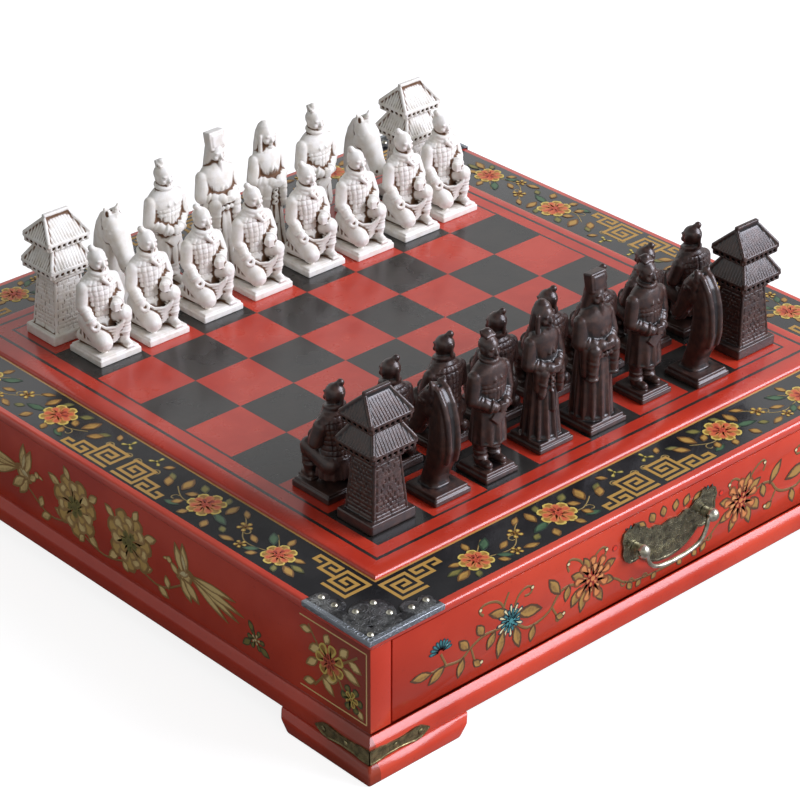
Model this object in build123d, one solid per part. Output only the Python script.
from build123d import *
import os

# Lacquered chess box: a raised board on a square case with one drawer, and two armies of figures.
# Millimetres. +X runs along the drawer side to the right, -Y is the drawer side, +Z is up.
# The origin is on the floor under the middle of the case.

# Board and case
SQUARE = 36.0
SQUARES_PER_SIDE = 8
BOARD_MARGIN = 19.5
BOARD_RAISE = 3.0
BOARD_EDGE_WIDTH = 8.5
BORDER = 36.5
TOP_THICK = 5.5
TOP_OVERHANG = 1.5
SIDE_HEIGHT = 46.8
SIDE_THICK = 13.0
BACK_THICK = 12.0
BOTTOM_THICK = 5.0

# Base mouldings and bracket feet
MOULDING_HEIGHT = 12.8
MOULDING_SLOPE = 4.8
MOULDING_PROJECTION = 4.0
FOOT_HEIGHT = 10.0
FOOT_SLOPE = 4.0
FOOT_PROJECTION = 3.0
FOOT_LENGTH = 66.0
FOOT_THICK = 15.0
FOOT_END_SLANT = 8.0

# Brass corner plates on the top, corner straps on the base, and their nails
PLATE_THICK = 0.8
PLATE_LIP = 2.0
PLATE_LEG = 46.0
PLATE_LEG_WIDTH = 8.0
PLATE_TIP_LOBE = 4.0
PLATE_LEG_LOBE = 5.5
PLATE_LEG_LOBE_ALONG = 33.0
PLATE_CORNER_LOBE = 11.0
PLATE_CORNER_LOBE_IN = 17.0
STRAP_THICK = 0.8
STRAP_EDGE_MARGIN = 0.3
STRAP_LEG = 31.5
STRAP_WAIST = 4.8
STRAP_LEAF = 4.0
NAIL_HEAD_RADIUS = 1.7
NAIL_HEAD_HEIGHT = 1.1
NAIL_SHANK_RADIUS = 0.6
NAIL_SHANK_LENGTH = 4.0

# Drawer
FRONT_GAP = 0.8
SIDE_GAP = 0.8
RUNNING_GAP = 0.2
RUNNER_HEIGHT = 2.0
RUNNER_WIDTH = 10.0
RUNNER_END_GAP = 4.0
STOP_DEPTH = 6.0
STOP_HEIGHT = 12.0
STOP_WIDTH = 24.0
STOP_GAP = 0.3
DRAWER_FRONT_THICK = 12.0
DRAWER_SIDE_THICK = 8.0
DRAWER_TOP_GAP = 3.8
DRAWER_BACK_THICK = 8.0
DRAWER_BOTTOM_THICK = 3.0
DRAWER_BOTTOM_LIFT = 2.5
GROOVE_DEPTH = 4.0
DIVIDER_THICK = 6.0
DIVIDER_TOP_GAP = 4.0
LINING_THICK = 0.8
LINING_GAP = 0.3

# Handle
POST_SPACING = 50.0
POST_RISE = 5.0
POST_RADIUS = 2.0
POST_COLLAR_RADIUS = 2.8
POST_BALL_RADIUS = 3.6
POST_REACH = 6.3
POST_HOLE_GAP = 0.1
BACKPLATE_THICK = 1.0
BACKPLATE_BODY_WIDTH = 42.0
BACKPLATE_BODY_HEIGHT = 22.0
BACKPLATE_BODY_DROP = 2.0
BACKPLATE_BOSS_RADIUS = 4.6
BACKPLATE_WING_RADIUS = 11.5
BACKPLATE_WING_CUT_RADIUS = 9.5
BACKPLATE_WING_IN = 4.0
BACKPLATE_WING_CUT_IN = 7.0
BACKPLATE_WING_DROP = 1.5
BAIL_RADIUS = 1.4
BAIL_PIN_GAP = 0.25
BAIL_DROP = 15.0
BAIL_SHOULDER_RADIUS = 4.0
BAIL_TAIL_DROP = 8.0
BAIL_TAIL_RADIUS = 3.0
NUT_RADIUS = 3.6
NUT_THICK = 2.4
NUT_BORE_GAP = 0.05

# Chessmen: the plinth, then each figure above the plinth's top.
# A section is (height, half width, half depth, shift back).
PLINTH_MARGINS = {"pawn": 4.5, "knight": 6.0, "bishop": 7.0, "queen": 6.0, "king": 5.0}
PLINTH_LOWER = 3.0
PLINTH_UPPER = 2.0
PLINTH_STEP = 1.2
SINK = 0.6

TOPKNOT_RADIUS = 2.6
THIGH_RADIUS = 5.8
KNEE_RADIUS = 5.0
SHIN_RADIUS = 4.2
ANKLE_RADIUS = 3.6
TOE_RADIUS = 2.4
SHOULDER_RADIUS = 3.9
ELBOW_RADIUS = 3.4
HAND_RADIUS = 3.0
HEAD_RADIUS = 4.7
HEAD_HALF_HEIGHT = 6.2

ARCHER_TORSO = (
    (7.0, 10.5, 9.5, 4.0),
    (15.0, 10.5, 8.8, 4.0),
    (23.0, 9.0, 7.4, 4.0),
    (32.0, 10.8, 8.0, 4.0),
    (37.5, 11.0, 7.0, 4.0),
    (42.0, 4.4, 4.2, 4.0),
)
ARCHER_HEAD = (0.0, 3.0, 47.5)
ARCHER_TOPKNOT = (-1.0, 5.0, 54.5)
ARCHER_HIP = (5.0, 6.0, 12.5)
ARCHER_LOW_KNEE = (-7.0, -7.5, 5.4)
ARCHER_LOW_FOOT = (-7.0, 9.8, 3.6)
ARCHER_HIGH_KNEE = (7.5, -7.0, 18.0)
ARCHER_HIGH_ANKLE = (7.0, -7.5, 4.0)
ARCHER_HIGH_TOE = (7.0, -10.5, 2.4)
ARCHER_SHOULDER = (10.6, 4.0, 36.3)
ARCHER_LOW_ELBOW = (-11.4, 3.0, 24.5)
ARCHER_LOW_HAND = (-10.2, -4.5, 16.0)
ARCHER_HIGH_ELBOW = (11.4, 1.5, 25.0)
ARCHER_HIGH_HAND = (2.5, -6.0, 25.0)

GENERAL_BODY = (
    (14.0, 9.8, 8.8, 0.0),
    (22.0, 9.8, 8.4, 0.0),
    (33.0, 8.4, 6.8, 0.0),
    (43.0, 9.6, 7.2, 0.0),
    (50.5, 10.4, 7.0, 0.0),
    (54.0, 9.8, 6.2, 0.0),
    (58.0, 4.2, 4.0, 0.0),
)
GENERAL_HEAD = (0.0, 0.0, 63.3)
GENERAL_TOPKNOT = (0.0, 1.0, 70.8)
GENERAL_LEG = (4.4, 0.5)
GENERAL_LEG_TOP = 18.0
GENERAL_SHOE = 6.0
GENERAL_SHOULDER = (10.2, 0.0, 51.8)
GENERAL_ELBOW = (11.4, -1.0, 38.5)
GENERAL_HAND = (1.4, -8.2, 35.0)

LADY_ROBE = (
    (0.0, 10.8, 10.2, 0.0),
    (8.0, 10.0, 9.0, 0.0),
    (28.0, 8.6, 7.4, 0.0),
    (40.0, 7.4, 6.2, 0.0),
    (50.0, 8.6, 6.6, 0.0),
    (56.0, 9.0, 5.8, 0.0),
    (60.0, 4.0, 3.8, 0.0),
)
LADY_HAIR = (
    (53.0, 6.6, 3.4, 3.2),
    (61.5, 6.4, 4.4, 2.2),
    (68.0, 5.4, 5.0, 1.2),
    (71.5, 3.4, 3.4, 0.8),
)
LADY_HEAD = (0.0, 0.0, 65.2)
LADY_BUN = (0.0, 1.5, 71.6)
LADY_SHOULDER = (8.8, 0.5, 53.4)
LADY_ELBOW = (10.0, -0.5, 41.0)
LADY_HAND = (1.8, -8.0, 39.0)
LADY_SLEEVE_TOP = (5.0, -7.0, 37.0)
LADY_SLEEVE_END = (6.2, -6.6, 24.5)
LADY_SLEEVE_RADIUS = 3.2

RULER_ROBE = (
    (0.0, 11.6, 11.0, 0.0),
    (11.0, 11.2, 10.2, 0.0),
    (31.0, 10.4, 8.8, 0.0),
    (42.0, 9.6, 7.8, 0.0),
    (51.0, 10.4, 7.8, 0.0),
    (57.0, 10.6, 6.6, 0.0),
    (61.0, 4.4, 4.2, 0.0),
)
RULER_HEAD = (0.0, 0.0, 66.4)
RULER_HAIR = (
    (55.0, 6.8, 3.6, 3.0),
    (63.0, 6.0, 4.4, 2.0),
    (70.0, 5.3, 5.0, 1.0),
    (78.0, 5.6, 6.0, 0.6),
)
RULER_CROWN_WIDTH = 12.6
RULER_CROWN_DEPTH = 15.0
RULER_CROWN_THICK = 2.2
RULER_CROWN_TILT = 18.0
RULER_CROWN_Z = 78.4
RULER_SHOULDER = (9.6, 0.5, 54.4)
RULER_ELBOW = (10.0, -1.0, 43.0)
RULER_HAND = (2.4, -8.6, 41.5)
RULER_SLEEVE_TOP = (6.6, -7.2, 39.5)
RULER_SLEEVE_END = (7.4, -7.0, 24.0)
RULER_SLEEVE_RADIUS = 3.8

# Horse: side outlines as (forward, height), forward being towards -Y
HORSE_NECK = (
    (-4.0, 0.0),
    (-10.8, 20.5),
    (-10.6, 31.6),
    (-7.8, 46.5),
    (-3.0, 54.0),
    (3.0, 53.0),
    (6.0, 41.0),
    (7.2, 22.0),
    (8.2, 0.0),
)
HORSE_HEAD = (
    (-3.0, 54.4),
    (3.5, 54.4),
    (8.5, 42.8),
    (13.4, 29.8),
    (13.6, 25.6),
    (10.6, 23.2),
    (4.8, 28.8),
    (-2.0, 35.4),
)
HORSE_NECK_WIDTH = 14.0
HORSE_HEAD_WIDTH = 10.0
HORSE_EDGE_CUT = 2.4
HORSE_EAR = (3.2, -0.5, 52.0)
HORSE_EAR_RADIUS = 2.2
HORSE_EAR_HEIGHT = 5.6

# Tower: four-sided stages as (height, width, depth)
TOWER_PLINTH_MARGINS = (3.5, 5.5)
TOWER_PLINTH_HEIGHT = 6.0
TOWER_FOOT = (22.5, 20.5)
TOWER_NECK = (35.0, 17.0, 15.5)
TOWER_BAND = (37.0, 19.5, 18.0)
TOWER_CORNICE = (40.0, 21.5, 20.0)
LOWER_EAVE = (43.5, 29.0, 27.0)
LOWER_RIDGE = (52.5, 17.0, 14.0)
UPPER_WALL_TOP = 55.0
UPPER_EAVE = (58.5, 28.0, 23.0)
UPPER_RIDGE = (68.5, 16.0, 2.4)
RIDGE_HEIGHT = 3.0

# Where the armies stand: files run from -X to +X, ranks from -Y to +Y
WHITE_BACK_RANK = ("rook", "knight", "bishop", "king", "queen", "bishop", "knight", "rook")
DARK_BACK_RANK = ("rook", "knight", "bishop", "queen", "king", "bishop", "knight", "rook")
WHITE_RANKS = (7, 6)
DARK_RANKS = (0, 1)
# Dark men of these kinds face the white army; every other man faces the drawer side
DARK_TURNED = ("pawn", "knight")
# How far each man stands off the middle of its square, as (right, back); the others stand in the middle
OFF_MIDDLE = {
    "dark_rook_1": (-2.7, 0.0),
    "dark_knight_1": (-1.0, -2.0),
    "dark_bishop_1": (-5.0, -4.0),
    "dark_queen": (-0.7, -0.5),
    "dark_king": (-3.6, -3.5),
    "dark_bishop_2": (0.8, -1.0),
    "dark_knight_2": (-1.0, -8.0),
    "dark_rook_2": (3.8, -1.0),
    "white_pawn_1": (3.3, 2.6),
    "white_pawn_2": (0.0, 2.7),
    "white_pawn_3": (2.4, 4.0),
    "white_pawn_4": (3.1, 5.6),
    "white_pawn_5": (7.0, 7.0),
    "white_pawn_6": (4.3, 3.2),
    "white_pawn_7": (3.8, 3.1),
    "white_pawn_8": (1.1, 7.0),
}

# Heights of the stack, from the floor up
MOULDING_Z = FOOT_HEIGHT
SIDES_Z = MOULDING_Z + MOULDING_HEIGHT
SLAB_Z = SIDES_Z + SIDE_HEIGHT
BOARD_Z = SLAB_Z + TOP_THICK
FIELD_Z = BOARD_Z + BOARD_RAISE

# Plan sizes, from the squares out
BOARD_SIDE = SQUARES_PER_SIDE * SQUARE + 2 * BOARD_MARGIN
TOP_HALF = BOARD_SIDE / 2 + BORDER
CASE_HALF = TOP_HALF - TOP_OVERHANG
BASE_HALF = CASE_HALF + MOULDING_PROJECTION
FOOT_HALF = BASE_HALF + FOOT_PROJECTION
INNER_HALF = CASE_HALF - SIDE_THICK
INNER_BACK = CASE_HALF - BACK_THICK

# Drawer levels and faces
DRAWER_Z = SIDES_Z + RUNNER_HEIGHT + RUNNING_GAP
DRAWER_HALF = INNER_HALF - SIDE_GAP
DRAWER_FACE = -CASE_HALF
DRAWER_FRONT_BACK = DRAWER_FACE + DRAWER_FRONT_THICK
DRAWER_END = INNER_BACK - STOP_DEPTH - STOP_GAP
DRAWER_WELL_HALF = DRAWER_HALF - DRAWER_SIDE_THICK
DRAWER_WELL_END = DRAWER_END - DRAWER_BACK_THICK
DRAWER_FLOOR = DRAWER_Z + DRAWER_BOTTOM_LIFT + DRAWER_BOTTOM_THICK
DRAWER_TOP = SLAB_Z - DRAWER_TOP_GAP
HANDLE_Z = SIDES_Z + SIDE_HEIGHT / 2 + POST_RISE
BAIL_Y = DRAWER_FACE - POST_REACH

PLINTH_TOP = PLINTH_LOWER + PLINTH_UPPER


def block(x, y, z):
    """A box between two limits on each axis."""
    size = [high - low for low, high in (x, y, z)]
    middle = [(high + low) / 2 for low, high in (x, y, z)]
    return Pos(*middle) * Box(*size)


def four_corners(shape):
    """The same piece turned to each of the four corners or sides."""
    return [Rot(0, 0, 90 * turn) * shape for turn in range(4)]


def mitred_length(profile, half_side):
    """A moulding along the -Y side, mitred at both ends. Profile points are (outwards, height)."""
    outline = Polyline(*[(0, -out, height) for out, height in profile], close=True)
    bar = extrude(make_face(outline), half_side, dir=(1, 0, 0), both=True)
    quarter = Polygon((0, 0), (-half_side, -half_side), (half_side, -half_side), align=None)
    return bar & extrude(quarter, FIELD_Z)


def limb(start, end, start_radius, end_radius):
    """A round tapering limb with a ball at each end."""
    axis = Vector(*end) - Vector(*start)
    length = axis.length
    lean = (start_radius - end_radius) / length
    rise = (1 - lean ** 2) ** 0.5
    low = (start_radius * rise, start_radius * lean)
    high = (end_radius * rise, length + end_radius * lean)
    low_mid = ((1 - lean) / 2) ** 0.5
    high_mid = ((1 + lean) / 2) ** 0.5
    outline = Curve() + [
        ThreePointArc(
            (0, -start_radius), (start_radius * high_mid, -start_radius * low_mid), low),
        Line(low, high),
        ThreePointArc(
            high, (end_radius * low_mid, length + end_radius * high_mid), (0, length + end_radius)),
        Line((0, length + end_radius), (0, -start_radius)),
    ]
    body = revolve(make_face(Plane.XZ * outline), Axis.Z)
    return Plane(origin=start, z_dir=axis) * body


def stack(sections):
    """A solid through oval sections, from the lowest up."""
    ovals = [Pos(0, back, z) * Ellipse(wide, deep) for z, wide, deep, back in sections]
    return loft(ovals, ruled=True)


def stage(low, high):
    """A four-sided tapering stage between two rectangles given as (height, width, depth)."""
    return loft([Pos(0, 0, z) * Rectangle(wide, deep) for z, wide, deep in (low, high)], ruled=True)


def head(center):
    """An upright egg."""
    arc = EllipticalCenterArc((0, 0), HEAD_RADIUS, HEAD_HALF_HEIGHT, start_angle=-90, arc_size=180)
    outline = Curve() + [arc, Line(arc @ 1, arc @ 0)]
    return Pos(*center) * revolve(make_face(Plane.XZ * outline), Axis.Z)


def ball(center, radius):
    return Pos(*center) * Sphere(radius)


def mirrored(point):
    """The same point on the other side of the figure."""
    return (-point[0], point[1], point[2])


def pair(function, start, end, *radii):
    """The same limb on both sides."""
    return [function(start, end, *radii), function(mirrored(start), mirrored(end), *radii)]


def on_plinth(kind, pieces):
    """A figure fused to the two-step square plinth that it stands on."""
    side = SQUARE - 2 * PLINTH_MARGINS[kind]
    lower = Pos(0, 0, PLINTH_LOWER / 2) * Box(side, side, PLINTH_LOWER)
    upper_side = side - 2 * PLINTH_STEP
    upper = Pos(0, 0, PLINTH_LOWER + PLINTH_UPPER / 2) * Box(upper_side, upper_side, PLINTH_UPPER)
    figure = pieces[0] + pieces[1:]
    return lower + [upper, Pos(0, 0, PLINTH_TOP - SINK) * figure]


def make_archer():
    """Kneeling archer: one knee down, one raised, a fist at the belt."""
    low_hip = mirrored(ARCHER_HIP)
    low_shoulder = mirrored(ARCHER_SHOULDER)
    return on_plinth("pawn", [
        stack(ARCHER_TORSO),
        head(ARCHER_HEAD),
        ball(ARCHER_TOPKNOT, TOPKNOT_RADIUS),
        limb(low_hip, ARCHER_LOW_KNEE, THIGH_RADIUS, KNEE_RADIUS),
        limb(ARCHER_LOW_KNEE, ARCHER_LOW_FOOT, KNEE_RADIUS, ANKLE_RADIUS),
        limb(ARCHER_HIP, ARCHER_HIGH_KNEE, THIGH_RADIUS, KNEE_RADIUS),
        limb(ARCHER_HIGH_KNEE, ARCHER_HIGH_ANKLE, KNEE_RADIUS, ANKLE_RADIUS),
        limb(ARCHER_HIGH_ANKLE, ARCHER_HIGH_TOE, ANKLE_RADIUS, TOE_RADIUS),
        limb(low_shoulder, ARCHER_LOW_ELBOW, SHOULDER_RADIUS, ELBOW_RADIUS),
        limb(ARCHER_LOW_ELBOW, ARCHER_LOW_HAND, ELBOW_RADIUS, HAND_RADIUS),
        limb(ARCHER_SHOULDER, ARCHER_HIGH_ELBOW, SHOULDER_RADIUS, ELBOW_RADIUS),
        limb(ARCHER_HIGH_ELBOW, ARCHER_HIGH_HAND, ELBOW_RADIUS, HAND_RADIUS),
    ])


def make_general():
    """Standing general in a plated vest and a knee-length skirt, with the hands clasped."""
    leg_x, leg_y = GENERAL_LEG
    ankle = (leg_x, leg_y, TOE_RADIUS)
    leg_top = (leg_x, leg_y, GENERAL_LEG_TOP)
    toe = (leg_x, leg_y - GENERAL_SHOE, TOE_RADIUS)
    return on_plinth("bishop", [
        stack(GENERAL_BODY),
        head(GENERAL_HEAD),
        ball(GENERAL_TOPKNOT, TOPKNOT_RADIUS),
        *pair(limb, ankle, leg_top, ANKLE_RADIUS, SHIN_RADIUS),
        *pair(limb, ankle, toe, ANKLE_RADIUS, TOE_RADIUS),
        *pair(limb, GENERAL_SHOULDER, GENERAL_ELBOW, SHOULDER_RADIUS, ELBOW_RADIUS),
        *pair(limb, GENERAL_ELBOW, GENERAL_HAND, ELBOW_RADIUS, HAND_RADIUS),
    ])


def make_lady():
    """Robed lady with her hair up and her hands joined in long sleeves."""
    return on_plinth("queen", [
        stack(LADY_ROBE),
        stack(LADY_HAIR),
        head(LADY_HEAD),
        ball(LADY_BUN, TOPKNOT_RADIUS),
        *pair(limb, LADY_SHOULDER, LADY_ELBOW, ELBOW_RADIUS, SHOULDER_RADIUS),
        *pair(limb, LADY_ELBOW, LADY_HAND, SHOULDER_RADIUS, HAND_RADIUS),
        *pair(limb, LADY_SLEEVE_TOP, LADY_SLEEVE_END, LADY_SLEEVE_RADIUS, TOE_RADIUS),
    ])


def make_ruler():
    """Robed ruler with a flat board crown that tips forward."""
    crown = Box(RULER_CROWN_WIDTH, RULER_CROWN_DEPTH, RULER_CROWN_THICK)
    return on_plinth("king", [
        stack(RULER_ROBE),
        head(RULER_HEAD),
        stack(RULER_HAIR),
        Pos(0, 0, RULER_CROWN_Z) * Rot(RULER_CROWN_TILT, 0, 0) * crown,
        *pair(limb, RULER_SHOULDER, RULER_ELBOW, SHOULDER_RADIUS, KNEE_RADIUS),
        *pair(limb, RULER_ELBOW, RULER_HAND, KNEE_RADIUS, HAND_RADIUS),
        *pair(limb, RULER_SLEEVE_TOP, RULER_SLEEVE_END, RULER_SLEEVE_RADIUS, TOE_RADIUS),
    ])


def side_slab(outline, width):
    """A slab cut to a side outline, with its side edges cut back."""
    points = [(0, -forward, height) for forward, height in outline]
    face = make_face(Polyline(*points, close=True))
    slab = extrude(face, width / 2, dir=(1, 0, 0), both=True)
    rims = [edge for edge in slab.edges() if abs(abs(edge.center().X) - width / 2) < SINK]
    return chamfer(rims, HORSE_EDGE_CUT)


def make_horse():
    """Horse bust with a bowed head and two upright ears."""
    ear = Cone(HORSE_EAR_RADIUS, SINK, HORSE_EAR_HEIGHT, align=(Align.CENTER, Align.CENTER, Align.MIN))
    return on_plinth("knight", [
        side_slab(HORSE_NECK, HORSE_NECK_WIDTH),
        side_slab(HORSE_HEAD, HORSE_HEAD_WIDTH),
        Pos(*HORSE_EAR) * ear,
        Pos(*mirrored(HORSE_EAR)) * ear,
    ])


def make_tower():
    """Brick tower under two hipped roofs, the upper one with a ridge."""
    side_x, side_y = [SQUARE - 2 * margin for margin in TOWER_PLINTH_MARGINS]
    plinth = Pos(0, 0, TOWER_PLINTH_HEIGHT / 2) * Box(side_x, side_y, TOWER_PLINTH_HEIGHT)
    cornice_low = (TOWER_BAND[0], TOWER_CORNICE[1], TOWER_CORNICE[2])
    lower_soffit = (TOWER_CORNICE[0], LOWER_EAVE[1], LOWER_EAVE[2])
    upper_foot = (LOWER_RIDGE[0] - SINK, LOWER_RIDGE[1], LOWER_RIDGE[2])
    upper_soffit = (UPPER_WALL_TOP, UPPER_EAVE[1], UPPER_EAVE[2])
    ridge_low = (UPPER_RIDGE[0] - SINK, UPPER_RIDGE[1], UPPER_RIDGE[2])
    stages = [
        stage((TOWER_PLINTH_HEIGHT, *TOWER_FOOT), TOWER_NECK),
        stage((TOWER_NECK[0], TOWER_BAND[1], TOWER_BAND[2]), TOWER_BAND),
        stage(cornice_low, TOWER_CORNICE),
        stage(lower_soffit, LOWER_EAVE),
        stage(LOWER_EAVE, LOWER_RIDGE),
        stage(upper_foot, (UPPER_WALL_TOP, LOWER_RIDGE[1], LOWER_RIDGE[2])),
        stage(upper_soffit, UPPER_EAVE),
        stage(UPPER_EAVE, UPPER_RIDGE),
        stage(ridge_low, (UPPER_RIDGE[0] + RIDGE_HEIGHT, UPPER_RIDGE[1], UPPER_RIDGE[2])),
    ]
    return plinth + stages


def square_middle(place):
    """The middle of a file or a rank, from the middle of the board."""
    return (place + 0.5 - SQUARES_PER_SIDE / 2) * SQUARE


def make_chessmen():
    """Both armies at their places: a name for each man and its solid."""
    shapes = {
        "pawn": make_archer(),
        "rook": make_tower(),
        "knight": make_horse(),
        "bishop": make_general(),
        "queen": make_lady(),
        "king": make_ruler(),
    }
    armies = (
        ("white", WHITE_BACK_RANK, WHITE_RANKS, ()),
        ("dark", DARK_BACK_RANK, DARK_RANKS, DARK_TURNED),
    )
    men = {}
    for army, back_rank, (back, front), turned in armies:
        seen = {}
        for file in range(SQUARES_PER_SIDE):
            for kind, rank in ((back_rank[file], back), ("pawn", front)):
                seen[kind] = seen.get(kind, 0) + 1
                alone = kind in ("king", "queen")
                name = f"{army}_{kind}" if alone else f"{army}_{kind}_{seen[kind]}"
                right, behind = OFF_MIDDLE.get(name, (0, 0))
                turn = 180 if kind in turned else 0
                place = Pos(square_middle(file) + right, square_middle(rank) + behind, FIELD_Z)
                men[name] = place * Rot(0, 0, turn) * shapes[kind]
    return men


def make_board():
    """Raised board whose edge rolls over in a quarter oval."""
    half = BOARD_SIDE / 2
    flat = half - BOARD_EDGE_WIDTH
    right = EllipticalCenterArc((flat, 0), BOARD_EDGE_WIDTH, BOARD_RAISE, start_angle=0, arc_size=90)
    left = EllipticalCenterArc((-flat, 0), BOARD_EDGE_WIDTH, BOARD_RAISE, start_angle=90, arc_size=90)
    outline = Curve() + [
        right,
        Line((flat, BOARD_RAISE), (-flat, BOARD_RAISE)),
        left,
        Line((-half, 0), (half, 0)),
    ]
    end = Plane(origin=(0, 0, BOARD_Z), x_dir=(1, 0, 0), z_dir=(0, -1, 0))
    bar = extrude(make_face(end * outline), half, both=True)
    return bar & Rot(0, 0, 90) * bar


def make_case():
    """The fixed panels of the case."""
    levels = (SIDES_Z, SLAB_Z)
    depth = (-CASE_HALF, CASE_HALF)
    return {
        "playing_board": make_board(),
        "case_top": block((-TOP_HALF, TOP_HALF), (-TOP_HALF, TOP_HALF), (SLAB_Z, BOARD_Z)),
        "case_left_side": block((-CASE_HALF, -INNER_HALF), depth, levels),
        "case_right_side": block((INNER_HALF, CASE_HALF), depth, levels),
        "case_back": block((-INNER_HALF, INNER_HALF), (INNER_BACK, CASE_HALF), levels),
        "case_bottom": block(
            (-INNER_HALF, INNER_HALF), (-INNER_HALF, INNER_HALF), (SIDES_Z - BOTTOM_THICK, SIDES_Z)),
    }


def make_base():
    """Mitred mouldings under the sides, and a bracket foot under each corner."""
    top = SIDES_Z
    moulding = [
        (INNER_HALF, MOULDING_Z),
        (BASE_HALF, MOULDING_Z),
        (BASE_HALF, top - MOULDING_SLOPE),
        (CASE_HALF, top),
        (INNER_HALF, top),
    ]
    foot = [
        (FOOT_HALF - FOOT_THICK, 0),
        (FOOT_HALF, 0),
        (FOOT_HALF, FOOT_HEIGHT - FOOT_SLOPE),
        (BASE_HALF, FOOT_HEIGHT),
        (FOOT_HALF - FOOT_THICK, FOOT_HEIGHT),
    ]
    arm_top = -FOOT_HALF + FOOT_LENGTH
    window = Polyline(
        (-FOOT_HALF, 0, 0),
        (arm_top - FOOT_END_SLANT, 0, 0),
        (arm_top, 0, FOOT_HEIGHT),
        (-FOOT_HALF, 0, FOOT_HEIGHT),
        close=True)
    arm = mitred_length(foot, FOOT_HALF) & extrude(make_face(window), FOOT_HALF, dir=(0, -1, 0))
    other_arm = mirror(arm, Plane(origin=(0, 0, 0), z_dir=(1, -1, 0)))
    return {
        "base_mouldings": four_corners(mitred_length(moulding, BASE_HALF)),
        "bracket_feet": four_corners(arm + other_arm),
    }


def nail(head_radius, head_height):
    """A dome-headed nail that points down, with the seat of its head at the origin."""
    dome_radius = (head_radius ** 2 + head_height ** 2) / (2 * head_height)
    dome = Pos(0, 0, head_height - dome_radius) * Sphere(dome_radius)
    above = Pos(0, 0, dome_radius) * Box(2 * dome_radius, 2 * dome_radius, 2 * dome_radius)
    shank = Pos(0, 0, -NAIL_SHANK_LENGTH / 2) * Cylinder(NAIL_SHANK_RADIUS, NAIL_SHANK_LENGTH)
    return (dome & above) + shank


def make_top_plates():
    """Corner plates on the top with a scalloped inner edge and a lip over the slab, and their nails."""
    edge = TOP_HALF + PLATE_THICK
    leg_end = TOP_HALF - PLATE_LEG
    lobe_line = TOP_HALF - PLATE_LEG_WIDTH
    inner = TOP_HALF - PLATE_CORNER_LOBE_IN
    flat = Pos((-edge - leg_end) / 2, (-edge - lobe_line) / 2) * Rectangle(edge - leg_end, edge - lobe_line)
    flat += mirror(flat, Plane(origin=(0, 0, 0), z_dir=(1, -1, 0)))
    flat += Pos(-inner, -inner) * Circle(PLATE_CORNER_LOBE)
    tip = (leg_end + PLATE_TIP_LOBE, lobe_line)
    leg_lobe = (TOP_HALF - PLATE_LEG_LOBE_ALONG, lobe_line)
    for (x, y), radius in ((tip, PLATE_TIP_LOBE), (leg_lobe, PLATE_LEG_LOBE)):
        flat += [Pos(-x, -y) * Circle(radius), Pos(-y, -x) * Circle(radius)]
    corner = Pos(-edge / 2, -edge / 2) * Rectangle(edge, edge)
    plate = Pos(0, 0, BOARD_Z) * extrude(flat & corner, PLATE_THICK)
    lip = block((-edge, -leg_end), (-edge, -TOP_HALF), (BOARD_Z - PLATE_LIP, BOARD_Z + PLATE_THICK))
    plate += [lip, mirror(lip, Plane(origin=(0, 0, 0), z_dir=(1, -1, 0)))]

    head = nail(NAIL_HEAD_RADIUS, NAIL_HEAD_HEIGHT)
    nail_z = BOARD_Z + PLATE_THICK
    lobe_side = (inner - PLATE_CORNER_LOBE / 2, inner + PLATE_CORNER_LOBE / 2)
    lobe_tip = inner - PLATE_CORNER_LOBE / 2
    outer_nail = TOP_HALF - PLATE_LEG_WIDTH / 2
    spots = [(outer_nail, outer_nail), (lobe_tip, lobe_tip)]
    for x, y in (tip, leg_lobe, lobe_side):
        spots += [(x, y), (y, x)]
    nails = [Pos(-x, -y, nail_z) * head for x, y in spots]
    return {
        "top_corner_plates": four_corners(plate),
        "corner_plate_nails": [piece for one in nails for piece in four_corners(one)],
    }


def make_straps():
    """Brass straps round the corners of the base mouldings, with leaf-shaped ends, and their nails."""
    face_height = MOULDING_HEIGHT - MOULDING_SLOPE
    middle_z = MOULDING_Z + face_height / 2
    leaf_height = face_height - 2 * STRAP_EDGE_MARGIN
    leg_end = -BASE_HALF + STRAP_LEG
    outer = BASE_HALF + STRAP_THICK
    wall = Plane(origin=(0, -BASE_HALF, middle_z), x_dir=(1, 0, 0), z_dir=(0, -1, 0))
    leg = Pos((leg_end - outer) / 2, 0) * Rectangle(leg_end + outer, STRAP_WAIST)
    leaf = Pos(leg_end, 0) * Ellipse(STRAP_LEAF, leaf_height / 2)
    bend = Pos(-outer + STRAP_LEAF / 2, 0) * Rectangle(STRAP_LEAF, leaf_height)
    one_leg = extrude(wall * (leg + leaf + bend), STRAP_THICK)
    other_leg = mirror(one_leg, Plane(origin=(0, 0, 0), z_dir=(1, -1, 0)))

    shaft = Rot(90, 0, 0) * nail(STRAP_WAIST / 3, NAIL_HEAD_HEIGHT / 2)
    nails = []
    for x in (leg_end, leg_end - STRAP_LEG / 2):
        spot = Pos(x, -outer, middle_z) * shaft
        nails += [spot, mirror(spot, Plane(origin=(0, 0, 0), z_dir=(1, -1, 0)))]
    return {
        "base_corner_straps": four_corners(one_leg + other_leg),
        "strap_nails": [piece for one in nails for piece in four_corners(one)],
    }


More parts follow.
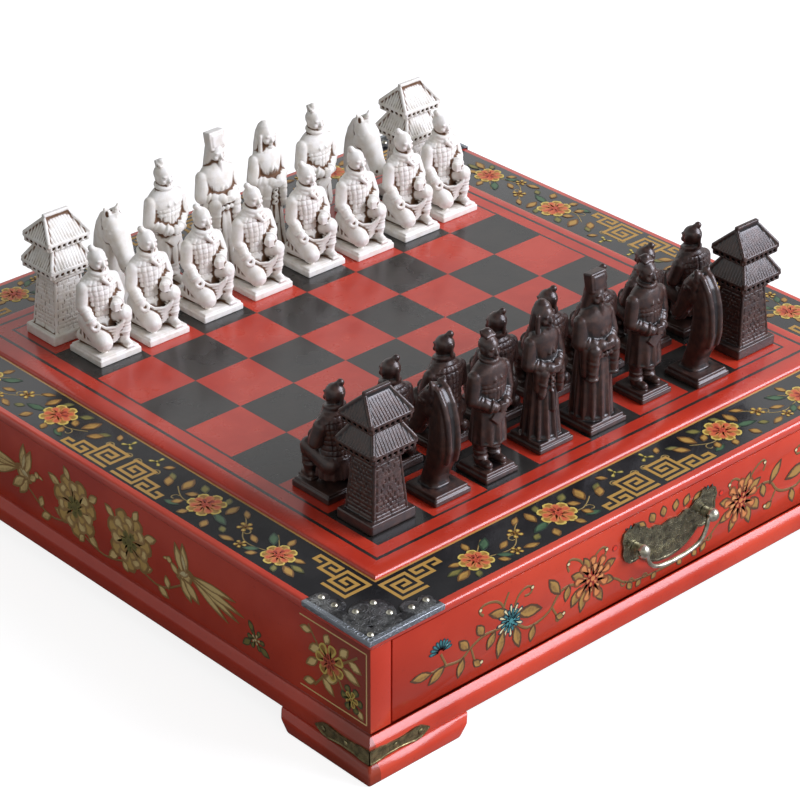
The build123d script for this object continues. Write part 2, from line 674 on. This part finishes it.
def make_runners():
    """Hardwood strips under the drawer's sides, and the blocks that stop it at the back."""
    depth = (-INNER_HALF + RUNNER_END_GAP, INNER_HALF - RUNNER_END_GAP)
    stop_x = INNER_HALF / 2
    runners, stops = [], []
    for side in (-1, 1):
        width = sorted((side * (INNER_HALF - RUNNER_WIDTH), side * INNER_HALF))
        runners.append(block(width, depth, (SIDES_Z, SIDES_Z + RUNNER_HEIGHT)))
        stop_width = (side * stop_x - STOP_WIDTH / 2, side * stop_x + STOP_WIDTH / 2)
        stop_depth = (INNER_BACK - STOP_DEPTH, INNER_BACK)
        stops.append(block(stop_width, stop_depth, (SIDES_Z, SIDES_Z + STOP_HEIGHT)))
    return {"drawer_runners": runners, "drawer_stops": stops}


def make_drawer():
    """The drawer box: its bottom is held in a groove all round, and a divider parts the two armies."""
    bottom = block(
        (-DRAWER_WELL_HALF - GROOVE_DEPTH, DRAWER_WELL_HALF + GROOVE_DEPTH),
        (DRAWER_FRONT_BACK - GROOVE_DEPTH, DRAWER_WELL_END + GROOVE_DEPTH),
        (DRAWER_FLOOR - DRAWER_BOTTOM_THICK, DRAWER_FLOOR))
    front_half = INNER_HALF - FRONT_GAP
    front = block(
        (-front_half, front_half),
        (DRAWER_FACE, DRAWER_FRONT_BACK),
        (SIDES_Z + FRONT_GAP, SLAB_Z - FRONT_GAP))
    walls = (DRAWER_Z, DRAWER_TOP)
    side_depth = (DRAWER_FRONT_BACK, DRAWER_END)
    left = block((-DRAWER_HALF, -DRAWER_WELL_HALF), side_depth, walls)
    right = block((DRAWER_WELL_HALF, DRAWER_HALF), side_depth, walls)
    back = block((-DRAWER_WELL_HALF, DRAWER_WELL_HALF), (DRAWER_WELL_END, DRAWER_END), walls)
    post_hole = Cylinder(POST_RADIUS + POST_HOLE_GAP, 4 * DRAWER_FRONT_THICK, rotation=(90, 0, 0))
    for side in (-1, 1):
        front -= Pos(side * POST_SPACING / 2, DRAWER_FACE, HANDLE_Z) * post_hole
    divider = block(
        (-DIVIDER_THICK / 2, DIVIDER_THICK / 2),
        (DRAWER_FRONT_BACK, DRAWER_WELL_END),
        (DRAWER_FLOOR, DRAWER_TOP - DIVIDER_TOP_GAP))
    felt_depth = (DRAWER_FRONT_BACK + LINING_GAP, DRAWER_WELL_END - LINING_GAP)
    felt_height = (DRAWER_FLOOR, DRAWER_FLOOR + LINING_THICK)
    near, far = DIVIDER_THICK / 2 + LINING_GAP, DRAWER_WELL_HALF - LINING_GAP
    return {
        "drawer_front": front - bottom,
        "drawer_left_side": left - bottom,
        "drawer_right_side": right - bottom,
        "drawer_back": back - bottom,
        "drawer_bottom": bottom,
        "drawer_divider": divider,
        "drawer_lining": [
            block((-far, -near), felt_depth, felt_height),
            block((near, far), felt_depth, felt_height),
        ],
    }


def make_backplate():
    """Bat-wing plate: a broad middle, a boss behind each post, and a crescent wing at each end."""
    outline = Pos(0, -BACKPLATE_BODY_DROP) * Ellipse(BACKPLATE_BODY_WIDTH / 2, BACKPLATE_BODY_HEIGHT / 2)
    for side in (-1, 1):
        post_x = POST_SPACING / 2
        wing = Pos(side * (post_x - BACKPLATE_WING_IN), -BACKPLATE_WING_DROP) * Circle(BACKPLATE_WING_RADIUS)
        cut = Pos(side * (post_x - BACKPLATE_WING_CUT_IN), -BACKPLATE_WING_DROP)
        outline += wing - cut * Circle(BACKPLATE_WING_CUT_RADIUS)
        outline += Pos(side * post_x, 0) * Circle(BACKPLATE_BOSS_RADIUS)
        outline += Pos(side * post_x / 2, 0) * Rectangle(post_x, BACKPLATE_BOSS_RADIUS)
    for side in (-1, 1):
        outline -= Pos(side * POST_SPACING / 2, 0) * Circle(POST_RADIUS + POST_HOLE_GAP)
    wall = Plane(origin=(0, DRAWER_FACE, HANDLE_Z), x_dir=(1, 0, 0), z_dir=(0, -1, 0))
    return extrude(wall * outline, BACKPLATE_THICK)


def make_posts():
    """Posts with a shaft through the drawer front and a ball that is bored for the bail, and their nuts."""
    collar_length = POST_REACH - BACKPLATE_THICK
    shaft_length = POST_REACH + DRAWER_FRONT_THICK + NUT_THICK
    shaft = Cylinder(POST_RADIUS, shaft_length, align=(Align.CENTER, Align.CENTER, Align.MAX))
    collar = Cylinder(POST_COLLAR_RADIUS, collar_length, align=(Align.CENTER, Align.CENTER, Align.MAX))
    bore = Cylinder(BAIL_RADIUS + BAIL_PIN_GAP, 4 * POST_BALL_RADIUS, rotation=(0, 90, 0))
    post = Sphere(POST_BALL_RADIUS) + [collar, shaft] - bore
    nut = extrude(RegularPolygon(NUT_RADIUS, 6) - Circle(POST_RADIUS + NUT_BORE_GAP), NUT_THICK)
    posts, nuts = [], []
    for side in (-1, 1):
        x = side * POST_SPACING / 2
        posts.append(Pos(x, BAIL_Y, HANDLE_Z) * Rot(90, 0, 0) * post)
        nuts.append(Pos(x, DRAWER_FRONT_BACK + NUT_THICK, HANDLE_Z) * Rot(90, 0, 0) * nut)
    return {"handle_posts": posts, "handle_nuts": nuts}


def make_bail():
    """Swinging bail: a round bar through both posts that sweeps down between them and hooks outside."""
    half = POST_SPACING / 2
    shoulder = half - POST_BALL_RADIUS - BAIL_RADIUS
    tail = half + POST_BALL_RADIUS + BAIL_RADIUS + BAIL_TAIL_RADIUS
    route = FilletPolyline(
        (-tail, -BAIL_TAIL_DROP),
        (-tail, 0),
        (-shoulder, 0),
        (-shoulder, -BAIL_DROP),
        (shoulder, -BAIL_DROP),
        (shoulder, 0),
        (tail, 0),
        (tail, -BAIL_TAIL_DROP),
        radius=[
            BAIL_TAIL_RADIUS,
            BAIL_SHOULDER_RADIUS / 2,
            BAIL_DROP - BAIL_SHOULDER_RADIUS,
            BAIL_DROP - BAIL_SHOULDER_RADIUS,
            BAIL_SHOULDER_RADIUS / 2,
            BAIL_TAIL_RADIUS,
        ])
    wall = Plane(origin=(0, BAIL_Y, HANDLE_Z), x_dir=(1, 0, 0), z_dir=(0, -1, 0))
    path = wall * route
    start = Plane(origin=path @ 0, z_dir=path % 0)
    return sweep(start * Circle(BAIL_RADIUS), path=path)


def write_parts(nodes):
    """One file for each node; a group of like pieces shares a file."""
    os.makedirs("parts", exist_ok=True)
    for name, shape in nodes.items():
        if isinstance(shape, list):
            shape = Compound(children=[solid for piece in shape for solid in piece.solids()])
        export_step(shape, f"parts/{name}.step")


nodes = {
    **make_case(),
    **make_base(),
    **make_top_plates(),
    **make_straps(),
    **make_runners(),
    **make_drawer(),
    "handle_backplate": make_backplate(),
    **make_posts(),
    "handle_bail": make_bail(),
    **make_chessmen(),
}
write_parts(nodes)
